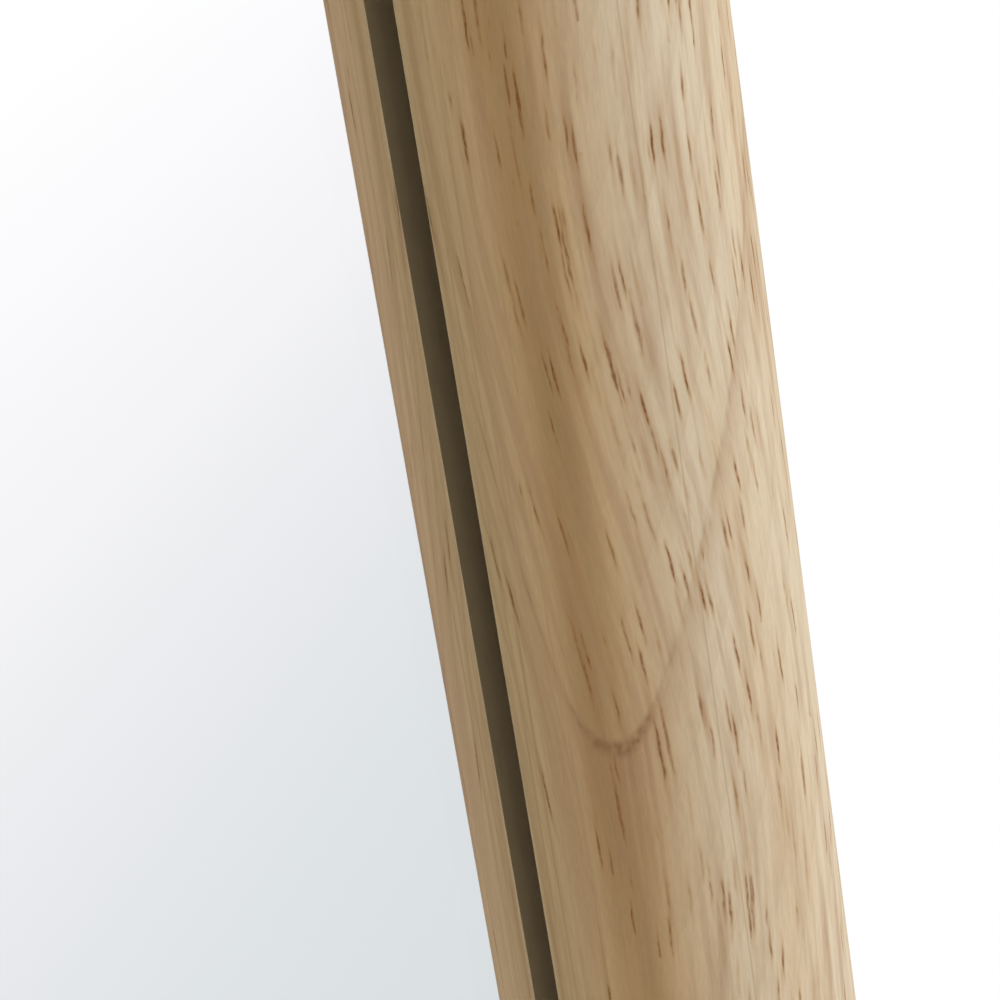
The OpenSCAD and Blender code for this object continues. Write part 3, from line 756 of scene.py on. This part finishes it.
planed = "rubberwood planed"
inTopRail = frameMatrix @ alongX(frameSizes["topRail"])
inBottomRail = frameMatrix @ alongX(frameSizes["bottomRail"])
blackCoat = powderCoat()
zincSteel = platedSteel("steel, bright zinc plated", "#CDD0D3", "#B4B8BD", 0.3)
nylon = mouldedNylon()
rubber = mouldedRubber()
finishOfNode = {
    "left_post": woodOf("left post", postMatrix(-1), shift=400, runOut=(-0.05, -0.08), pith=(-30.0, 34.0),
                        sandedEdge=1, cutterLine=5.9),
    "right_post": woodOf("right post", postMatrix(1), runOut=(0.008, -0.055), pith=(-19.4, -15.8), taper=0.4,
                         wobble=1.2, wave=5.4, waveFrom=970, tanSide=0.9, darkRing=(6.0, 940.2),
                         cutterLine=-5.9, sandedEdge=-1),
    "top_rail": woodOf("top rail", inTopRail, shift=900, pith=(-38.0, -12.0)),
    "bottom_rail": woodOf("bottom rail", inBottomRail, shift=1700, pith=(12.0, -40.0)),
    "left_leg": woodOf("left leg", legMatrix(-1), shift=2600, pith=(-22.0, 30.0), taper=0.08,
                       darkRing=(24.0, -500.0)),
    "right_leg": woodOf("right leg", legMatrix(1), shift=3900, pith=(28.0, 24.0), taper=-0.05),
    "upper_stretcher": woodOf("upper stretcher", standMatrix @ alongX(-upperDown), shift=5100,
                              pith=(20.0, -32.0)),
    "lower_stretcher": woodOf("lower stretcher", standMatrix @ alongX(-lowerDown), shift=6300,
                              pith=(-26.0, 20.0), taper=0.06),
    "left_bead": woodOf("left bead", postMatrix(-1), planed, shift=7200, pith=(40.0, 10.0)),
    "right_bead": woodOf("right bead", postMatrix(1), planed, shift=8300, pith=(-40.0, 16.0)),
    "top_bead": woodOf("top bead", inTopRail, planed, shift=9100),
    "bottom_bead": woodOf("bottom bead", inBottomRail, planed, shift=9900),
    "rail_dowels": woodOf("dowels", frameMatrix @ alongX(0), "beech turned", shift=11000),
    "mirror_glass": floatGlass(), "back_panel": hardboard(), "setting_blocks": rubber,
    "left_bracket": blackCoat, "right_bracket": blackCoat,
    "bracket_screws": platedSteel("steel, black zinc plated", "#2E2F31", "#1E1F20", 0.42),
    "bead_screws": zincSteel, "post_foot_screws": zincSteel, "leg_foot_screws": zincSteel,
    "left_pivot_bolt": zincSteel, "right_pivot_bolt": zincSteel, "left_pivot_nut": zincSteel,
    "right_pivot_nut": zincSteel, "pivot_washers": zincSteel,
    "left_leg_bushes": nylon, "right_leg_bushes": nylon,
    "left_post_foot": rubber, "right_post_foot": rubber, "left_leg_foot": rubber, "right_leg_foot": rubber,
}
print("materials made")

for node, finish in finishOfNode.items():
    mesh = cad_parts[node].data
    for k in range(len(mesh.materials)):
        mesh.materials[k] = finish
print("solids dressed")


# Modelling tools

clear = 30 * mm              # how far a cutter reaches past what it cuts
sharpAngle, smoothAngle = radians(30), radians(40)


def applyPlace(piece, matrix=None):
    pick(piece)
    if matrix is not None:
        piece.matrix_world = matrix @ piece.matrix_world
        bpy.context.view_layer.update()
    bpy.ops.object.transform_apply(location=True, rotation=True, scale=True)


def addRod(name, radius, low, high, sides, axis="Z", at=(0, 0)):
    # A round rod from low to high along an axis; at is its place across that axis
    pick()
    middle = (low + high) / 2
    spot = (middle, at[0], at[1]) if axis == "X" else (at[0], at[1], middle)
    turn = (0, pi / 2, 0) if axis == "X" else (0, 0, 0)
    bpy.ops.mesh.primitive_cylinder_add(vertices=sides, radius=radius, depth=high - low, location=spot,
                                        rotation=turn)
    rod = bpy.context.object
    rod.name = name
    applyPlace(rod)
    return rod


def addBlock(name, low, high):
    pick()
    low, high = Vector(low), Vector(high)
    bpy.ops.mesh.primitive_cube_add(size=1, location=(low + high) / 2)
    block = bpy.context.object
    block.name = name
    block.scale = high - low
    applyPlace(block)
    return block


def applyModifier(piece, kind, **settings):
    modifier = piece.modifiers.new(kind.lower(), kind)
    for key, value in settings.items():
        setattr(modifier, key, value)
    pick(piece)
    bpy.ops.object.modifier_apply(modifier=modifier.name)


def cutAway(piece, *cutters, operation="DIFFERENCE"):
    for cutter in cutters:
        applyModifier(piece, "BOOLEAN", object=cutter, operation=operation, solver="EXACT")
        bpy.data.objects.remove(cutter)


def edit(piece):
    pick(piece)
    bpy.ops.object.mode_set(mode="EDIT")


def selectWhere(kind, test):
    # kind is verts or edges; test takes one of them
    bpy.ops.mesh.select_mode(type={"verts": "VERT", "edges": "EDGE"}[kind])
    bpy.ops.mesh.select_all(action="DESELECT")
    mesh = bmesh.from_edit_mesh(bpy.context.object.data)
    for element in getattr(mesh, kind):
        if test(element):
            element.select_set(True)
    bmesh.update_edit_mesh(bpy.context.object.data)


def cutPlane(point, normal, keep="below"):
    # Cuts the piece in edit mode by a plane; keep is below, above or both
    bpy.ops.mesh.select_all(action="SELECT")
    bpy.ops.mesh.bisect(plane_co=point, plane_no=normal, use_fill=keep != "both",
                        clear_outer=keep == "below", clear_inner=keep == "above")


def isSharp(edge):
    return len(edge.link_faces) == 2 and edge.calc_face_angle(0) > sharpAngle


def easeEdges(width, segments=3, test=isSharp):
    selectWhere("edges", test)
    bpy.ops.mesh.bevel(offset=width, segments=segments, clamp_overlap=True)


def finishPiece(piece, matrix, body, replaced=None, material=None):
    # A piece that stands for a node has the node's finish
    applyPlace(piece, matrix)
    bpy.ops.object.mode_set(mode="EDIT")
    bpy.ops.mesh.select_all(action="SELECT")
    bpy.ops.mesh.normals_make_consistent(inside=False)
    bpy.ops.object.mode_set(mode="OBJECT")
    bpy.ops.object.shade_smooth_by_angle(angle=smoothAngle)
    applyModifier(piece, "WEIGHTED_NORMAL", keep_sharp=True)
    piece.data.materials.clear()
    piece.data.materials.append(material or finishOfNode[replaced])
    piece.data.name = piece.name
    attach(piece, body)
    if replaced:
        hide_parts(replaced)


# Front frame

postShape = {
    "sides": 120,
    "eased": 0.3 * mm,       # sandpapered arris along the lip
    "topSegments": 9,
    "flatDepth": 15.632 * mm,
    "flatHalf": 28.1 * mm,
}


def makePost(name, side):
    sizes = frameSizes
    radius = sizes["postRadius"]
    outside = radius + mm
    post = addRod(name + "_wood", radius, -radius, sizes["postLength"], postShape["sides"])
    edit(post)
    selectWhere("edges", lambda e: all(v.co.z > sizes["postLength"] - mm for v in e.verts))
    bpy.ops.mesh.bevel(offset=sizes["topRound"], segments=postShape["topSegments"])
    up = Vector((0, -sin(sizes["lean"]), cos(sizes["lean"])))
    cutPlane(up * sizes["footHeight"], up, keep="above")
    edge = sorted((-side * outside, -side * (radius - sizes["rebateWidth"])))
    low, high = sizes["pivotUp"] - postShape["flatHalf"], sizes["pivotUp"] + postShape["flatHalf"]
    cutAway(post,
            addBlock("rebate", (edge[0], 0, lowWall), (edge[1], outside, highWall)),
            addBlock("hinge flat", (-outside, postShape["flatDepth"], low), (outside, outside, high)))
    edit(post)
    top = sizes["postLength"] - sizes["topRound"] - mm
    easeEdges(postShape["eased"], test=lambda e: isSharp(e) and max(v.co.z for v in e.verts) < top)
    finishPiece(post, postMatrix(side), "mirror_frame", name)


railShape = {
    "sides": 96,
    "eased": 0.5 * mm,       # along the rail only, its coped ends stay sharp
    "easedOver": 100 * mm,   # length from which an edge counts as one along the rail
    "copeGap": 0.06 * mm,
    "copeHalf": 40 * mm,
}


def makeRail(name, inward):
    sizes = frameSizes
    radius = sizes["railRadius"]
    height = sizes["bottomRail"] if inward > 0 else sizes["topRail"]
    low, high = height - railShape["copeHalf"], height + railShape["copeHalf"]
    rail = addRod(name + "_wood", radius, -postX, postX, railShape["sides"], "X", (0, height))
    for side in (-1, 1):
        cutAway(rail, addRod("cope", sizes["postRadius"] + railShape["copeGap"], low, high,
                             postShape["sides"], at=(side * postX, 0)))
    wall = height + inward * (radius - sizes["rebateWidth"])
    edge = sorted((wall, height + inward * (radius + mm)))
    cutAway(rail, addBlock("rebate", (-postX - mm, 0, edge[0]), (postX + mm, radius + mm, edge[1])))
    edit(rail)
    easeEdges(railShape["eased"], test=lambda e: isSharp(e)
              and abs(e.verts[0].co.x - e.verts[1].co.x) > railShape["easedOver"])
    finishPiece(rail, frameMatrix, "mirror_frame", name)


# Rear stand

legShape = {
    "sides": 96,
    "radius": 14 * mm,
    "footRadius": 11 * mm,
    "straight": 460 * mm,
    "tongueHalf": 7.3 * mm,
    "crownHalf": 20 * mm,
    "shoulder": 31 * mm,
    "topRadius": 24.1 * mm,
    "topSides": 128,
    "spare": 5 * mm,         # of the blank, above the top
    "stopReach": 17.468 * mm,
    "boreRadius": 6.05 * mm,
    "boreSides": 48,
    "eased": 0.7 * mm,
}


def makeLeg(name, side):
    shape = legShape
    radius, across = shape["radius"], shape["crownHalf"]
    top = shape["topRadius"] + shape["spare"]
    leg = addRod(name + "_wood", radius, -legLength - radius, top, shape["sides"])
    edit(leg)
    cutPlane((0, 0, -shape["straight"]), (0, 0, 1), keep="both")
    cutPlane((0, 0, -legLength), (0, 0, 1), keep="both")
    selectWhere("verts", lambda v: v.co.z < -legLength + mm)
    taper = shape["footRadius"] / radius
    bpy.ops.transform.resize(value=(taper, taper, 1), center_override=(0, 0, -legLength))
    # The foot end is cut level with the floor
    up = Vector((0, sin(frameSizes["splay"]), cos(frameSizes["splay"])))
    ground = frameSizes["footHeight"] - pivotPoint.z
    cutPlane(up * ground, up, keep="above")
    # The top is bevelled to bear on the bracket when the stand is open
    openAngle = frameSizes["lean"] + frameSizes["splay"]
    ahead = Vector((0, -cos(openAngle), sin(openAngle)))
    cutPlane(ahead * shape["stopReach"], ahead, keep="below")
    for cheek in ((-clear, -shape["tongueHalf"]), (shape["tongueHalf"], clear)):
        cutAway(leg, addBlock("cheek", (cheek[0], -clear, -shape["shoulder"]), (cheek[1], clear, 2 * clear)))
    crown = addRod("crown", shape["topRadius"], -across, across, shape["topSides"], "X")
    cutAway(crown, addBlock("trunk", (-across, -clear, -2 * legLength), (across, clear, 0)), operation="UNION")
    cutAway(leg, crown, operation="INTERSECT")
    cutAway(leg, addRod("bore", shape["boreRadius"], -across, across, shape["boreSides"], "X"))
    edit(leg)
    easeEdges(shape["eased"])
    finishPiece(leg, legMatrix(side), "rear_stand", name)


stretcherShape = {
    "sides": 72,
    "radius": 10 * mm,
    "tenonRadius": 7 * mm,
    "tenonLength": 15 * mm,
    "taper": 60 * mm,
    "steps": 8,
    "near": 0.5 * mm,        # what counts as on a station
    "lowerLegRadius": 11.68 * mm,
}


def makeStretcher(name, down, legRadius):
    shape = stretcherShape
    end = postX - legRadius
    slimmer = shape["radius"] - shape["tenonRadius"]
    rod = addRod(name + "_wood", shape["radius"], -end - shape["tenonLength"], end + shape["tenonLength"],
                 shape["sides"], "X", (0, -down))
    edit(rod)
    # Turned ends: each ring on the taper is drawn in, along half a wave
    stations = [end - shape["taper"] * (1 - k / shape["steps"]) for k in range(shape["steps"] + 1)]
    for station in stations:
        for s in (-1, 1):
            cutPlane((s * station, 0, 0), (1, 0, 0), keep="both")
    for k, station in enumerate(stations):
        drawn = shape["radius"] - slimmer * (1 - cos(pi * k / shape["steps"])) / 2
        scale = drawn / shape["radius"]
        reach = shape["near"] if k < shape["steps"] else shape["tenonLength"] + mm
        for s in (-1, 1):
            selectWhere("verts", lambda v: -shape["near"] < s * v.co.x - station < reach)
            bpy.ops.transform.resize(value=(1, scale, scale), center_override=(0, 0, -down))
    finishPiece(rod, standMatrix, "rear_stand", name)


# Hinge brackets

bracketShape = {
    "halfWidth": 10.8 * mm,
    "steel": 2.5 * mm,
    "front": 15.732 * mm,
    "halfLength": 28 * mm,
    "earRadius": 12 * mm,
    "earSides": 64,
    "boltHole": 4.05 * mm,
    "boltHoleHalf": 20 * mm,
    "channelHalf": 40 * mm,
    "channelBack": 60 * mm,
    "holeSides": 48,
    "screwUp": 19.5 * mm,
    "sinkRadius": 1.65 * mm,
    "sinkDeep": 2.1 * mm,
    "sinkPast": 0.4 * mm,
    "bendOutside": 3.5 * mm,
    "bendInside": 1.0 * mm,
    "eased": 0.35 * mm,
    "onPlane": 0.01 * mm,    # what counts as on a plane, and as a long edge
    "longEdge": 50 * mm,
}


def makeBracket(name, side):
    shape = bracketShape
    wide, front, half = shape["halfWidth"], shape["front"], shape["halfLength"]
    back = front + shape["steel"]
    pivot = (frameSizes["pivotBack"], 0)

    def isBend(e, y):
        return (all(abs(v.co.y - y) < shape["onPlane"] for v in e.verts)
                and abs(e.verts[0].co.z - e.verts[1].co.z) > shape["longEdge"])

    # The outline of the ears is the hull of the round at the pivot and of the plate
    bracket = addRod(name + "_steel", shape["earRadius"], -wide, wide, shape["earSides"], "X", pivot)
    plate = addBlock("plate", (-wide, front, -half), (wide, back, half))
    pick(plate, bracket)
    bpy.ops.object.join()
    edit(bracket)
    bpy.ops.mesh.select_all(action="SELECT")
    bpy.ops.mesh.convex_hull()
    easeEdges(shape["bendOutside"], 6, lambda e: isBend(e, front))
    inner = wide - shape["steel"]
    high = shape["channelHalf"]
    channel = addBlock("channel", (-inner, back, -high), (inner, shape["channelBack"], high))
    edit(channel)
    easeEdges(shape["bendInside"], 4, lambda e: isBend(e, back))
    through = shape["boltHoleHalf"]
    cutAway(bracket, channel,
            addRod("bolt hole", shape["boltHole"], -through, through, shape["holeSides"], "X", pivot))
    deep = shape["sinkDeep"] + shape["sinkPast"]
    middle = back - shape["sinkDeep"] + deep / 2
    for k in (-1, 0, 1):
        pick()
        bpy.ops.mesh.primitive_cone_add(vertices=shape["holeSides"], radius1=shape["sinkRadius"],
                                        radius2=shape["sinkRadius"] + deep, depth=deep,
                                        location=(0, middle, k * shape["screwUp"]),
                                        rotation=(-pi / 2, 0, 0))
        sink = bpy.context.object
        applyPlace(sink)
        cutAway(bracket, sink)
    edit(bracket)
    easeEdges(shape["eased"], 2)
    place = postMatrix(side) @ Matrix.Translation((0, 0, frameSizes["pivotUp"]))
    finishPiece(bracket, place, "mirror_frame", name)


makePost("left_post", -1)
makePost("right_post", 1)
print("posts made")
makeRail("top_rail", -1)
makeRail("bottom_rail", 1)
print("rails made")
makeLeg("left_leg", -1)
makeLeg("right_leg", 1)
print("legs made")
makeStretcher("upper_stretcher", upperDown, legShape["radius"])
makeStretcher("lower_stretcher", lowerDown, stretcherShape["lowerLegRadius"])
print("stretchers made")
makeBracket("left_bracket", -1)
makeBracket("right_bracket", 1)
print("brackets made")

# The silver, a thin leaf behind the glass that ends just short of its edges
silverLeaf = {"front": 4.11 * mm, "back": 4.17 * mm, "halfWidth": 218.3 * mm, "edgeGap": 1.7 * mm}
leaf = addBlock("silver_leaf",
                (-silverLeaf["halfWidth"], silverLeaf["front"], lowWall + silverLeaf["edgeGap"]),
                (silverLeaf["halfWidth"], silverLeaf["back"], highWall - silverLeaf["edgeGap"]))
finishPiece(leaf, frameMatrix, "mirror_frame", material=silverCoat())
